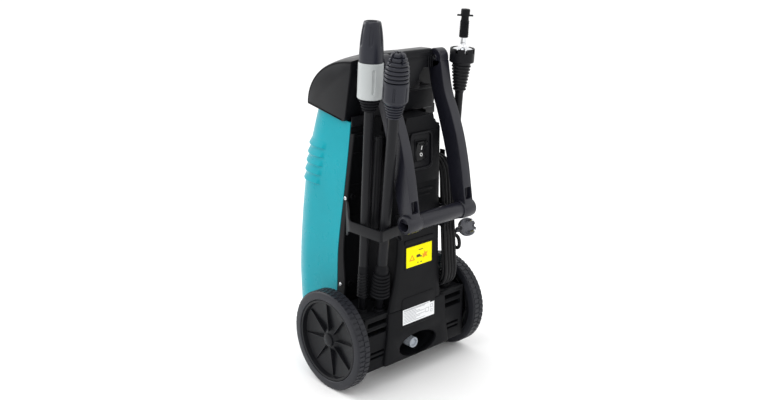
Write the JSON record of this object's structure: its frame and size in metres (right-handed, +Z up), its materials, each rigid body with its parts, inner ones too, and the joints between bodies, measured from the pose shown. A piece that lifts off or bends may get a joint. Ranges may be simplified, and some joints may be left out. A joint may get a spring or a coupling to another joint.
{
  "type": "pressure washer",
  "caption": "Upright electric pressure washer on two wheels with a folding handle, stored spray lances, a rear power switch and a hung mains cord.",
  "frame": {"origin": "on the floor, under the middle of the machine without its cord", "axes": "+Z up, X along the wheel axle, +Y to the back, where the handle, the switch and the lances are"},
  "size_m": [0.312, 0.3545, 0.6512],
  "materials": {
    "teal_plastic": "satin-gloss moulded plastic, fine grain",
    "black_housing": "black moulded plastic, fine texture",
    "handle_plastic": "satin black plastic",
    "wheel_plastic": "satin black plastic",
    "tread_plastic": "black tread",
    "steel": "bright steel",
    "chrome_metal": "polished chrome",
    "lance_plastic": "satin black tube",
    "grip_plastic": "dark grey moulded plastic",
    "grey_collar": "light grey plastic",
    "switch_plastic": "black plastic",
    "yellow_label": null,
    "white_label": "printed label, no lettering",
    "rubber": "black rubber",
    "fitting_grey": "light grey plastic",
    "brass": "machined brass",
    "aluminium": "die-cast aluminium",
    "motor_iron": "laminated iron",
    "fan_plastic": "grey plastic"
  },
  "bodies": {
    "chassis": {"base_frame": "black_housing", "front_feet": "rubber", "axle": "steel", "axle_clips": "steel", "front_shell": "teal_plastic", "rear_housing": "black_housing", "hose_hood": "black_housing", "handle_mount": "black_housing", "pivot_pins": "steel", "lance_holder_left": "black_housing", "lance_holder_right": "black_housing", "switch_bezel": "switch_plastic", "warning_label": "yellow_label", "rating_label": "white_label", "housing_screws": "steel", "motor_stator": "motor_iron", "motor_bearings": "steel", "motor_end_cap": "aluminium", "pump_flange": "aluminium", "pistons": "steel", "piston_springs": "steel", "pump_body": "aluminium", "pump_head": "brass", "inlet_fitting": "fitting_grey", "inlet_filter": "fitting_grey", "outlet_fitting": "brass", "start_capacitor": "fan_plastic", "pressure_switch": "black_housing", "cord_gland": "black_housing", "cord_lead": "rubber", "cord_hank": "rubber", "cord_tail": "rubber", "mains_plug": "rubber", "cord_hook": "black_housing"},
    "wheel_left": {"wheel_disc_left": "wheel_plastic", "wheel_tread_left": "tread_plastic"},
    "wheel_right": {"wheel_disc_right": "wheel_plastic", "wheel_tread_right": "tread_plastic"},
    "handle": {"handle_arm_left": "handle_plastic", "handle_arm_right": "handle_plastic", "handle_bar": "handle_plastic"},
    "rocker": {"rocker_switch": "switch_plastic"},
    "rotor": {"rotor_core": "motor_iron", "motor_shaft": "steel", "cooling_fan": "fan_plastic", "wobble_plate": "aluminium"},
    "vario_lance": {"vario_tube": "lance_plastic", "vario_grip": "grip_plastic", "vario_collar": "grey_collar"},
    "vario_nozzle": {"vario_nozzle": "grip_plastic"},
    "turbo_lance": {"turbo_tube": "lance_plastic", "turbo_grip": "grip_plastic", "turbo_barrel": "grip_plastic", "turbo_cap": "grip_plastic"},
    "extension": {"extension_tube": "lance_plastic"},
    "gun_lance": {"gun_tube": "lance_plastic", "gun_grip": "grip_plastic", "chrome_cone": "chrome_metal", "bayonet_stem": "grip_plastic"},
    "union_nut": {"union_nut": "grip_plastic"}
  },
  "joints": [
    {"name": "handle_fold", "type": "hinge", "parent": "chassis", "child": "handle", "pos_m": [0, 0.083, 0.57], "axis": [1, 0, 0], "range_deg": [0, 165]},
    {"name": "wheel_left_spin", "type": "hinge", "parent": "chassis", "child": "wheel_left", "pos_m": [0, 0.035, 0.09], "axis": [1, 0, 0], "continuous": true},
    {"name": "wheel_right_spin", "type": "hinge", "parent": "chassis", "child": "wheel_right", "pos_m": [0, 0.035, 0.09], "axis": [1, 0, 0], "continuous": true},
    {"name": "rocker_press", "type": "hinge", "parent": "chassis", "child": "rocker", "pos_m": [0, 0.106, 0.42], "axis": [1, 0, 0], "range_deg": [0, 14]},
    {"name": "rotor_spin", "type": "hinge", "parent": "chassis", "child": "rotor", "pos_m": [0, -0.027, 0.3], "axis": [0, 0, 1], "continuous": true},
    {"name": "vario_lift", "type": "slide", "parent": "chassis", "child": "vario_lance", "axis": [0.0043, 0.0691, 0.9976], "range_m": [0, 0.06]},
    {"name": "vario_twist", "type": "hinge", "parent": "vario_lance", "child": "vario_nozzle", "pos_m": [0.09773, 0.09351, 0.58992], "axis": [0.0043, 0.0691, 0.9976], "range_deg": [0, 60]},
    {"name": "turbo_lift", "type": "slide", "parent": "chassis", "child": "turbo_lance", "axis": [0.0617, 0.1721, 0.9832], "range_m": [0, 0.06]},
    {"name": "extension_lift", "type": "slide", "parent": "chassis", "child": "extension", "axis": [-0.0678, 0, 0.9977], "range_m": [0, 0.03]},
    {"name": "gun_lance_lift", "type": "slide", "parent": "chassis", "child": "gun_lance", "axis": [-0.0024, 0.0738, 0.9973], "range_m": [0, 0.06]},
    {"name": "union_nut_spin", "type": "hinge", "parent": "gun_lance", "child": "union_nut", "pos_m": [-0.09703, 0.10793, 0.56983], "axis": [-0.0024, 0.0738, 0.9973], "continuous": true}
  ]
}
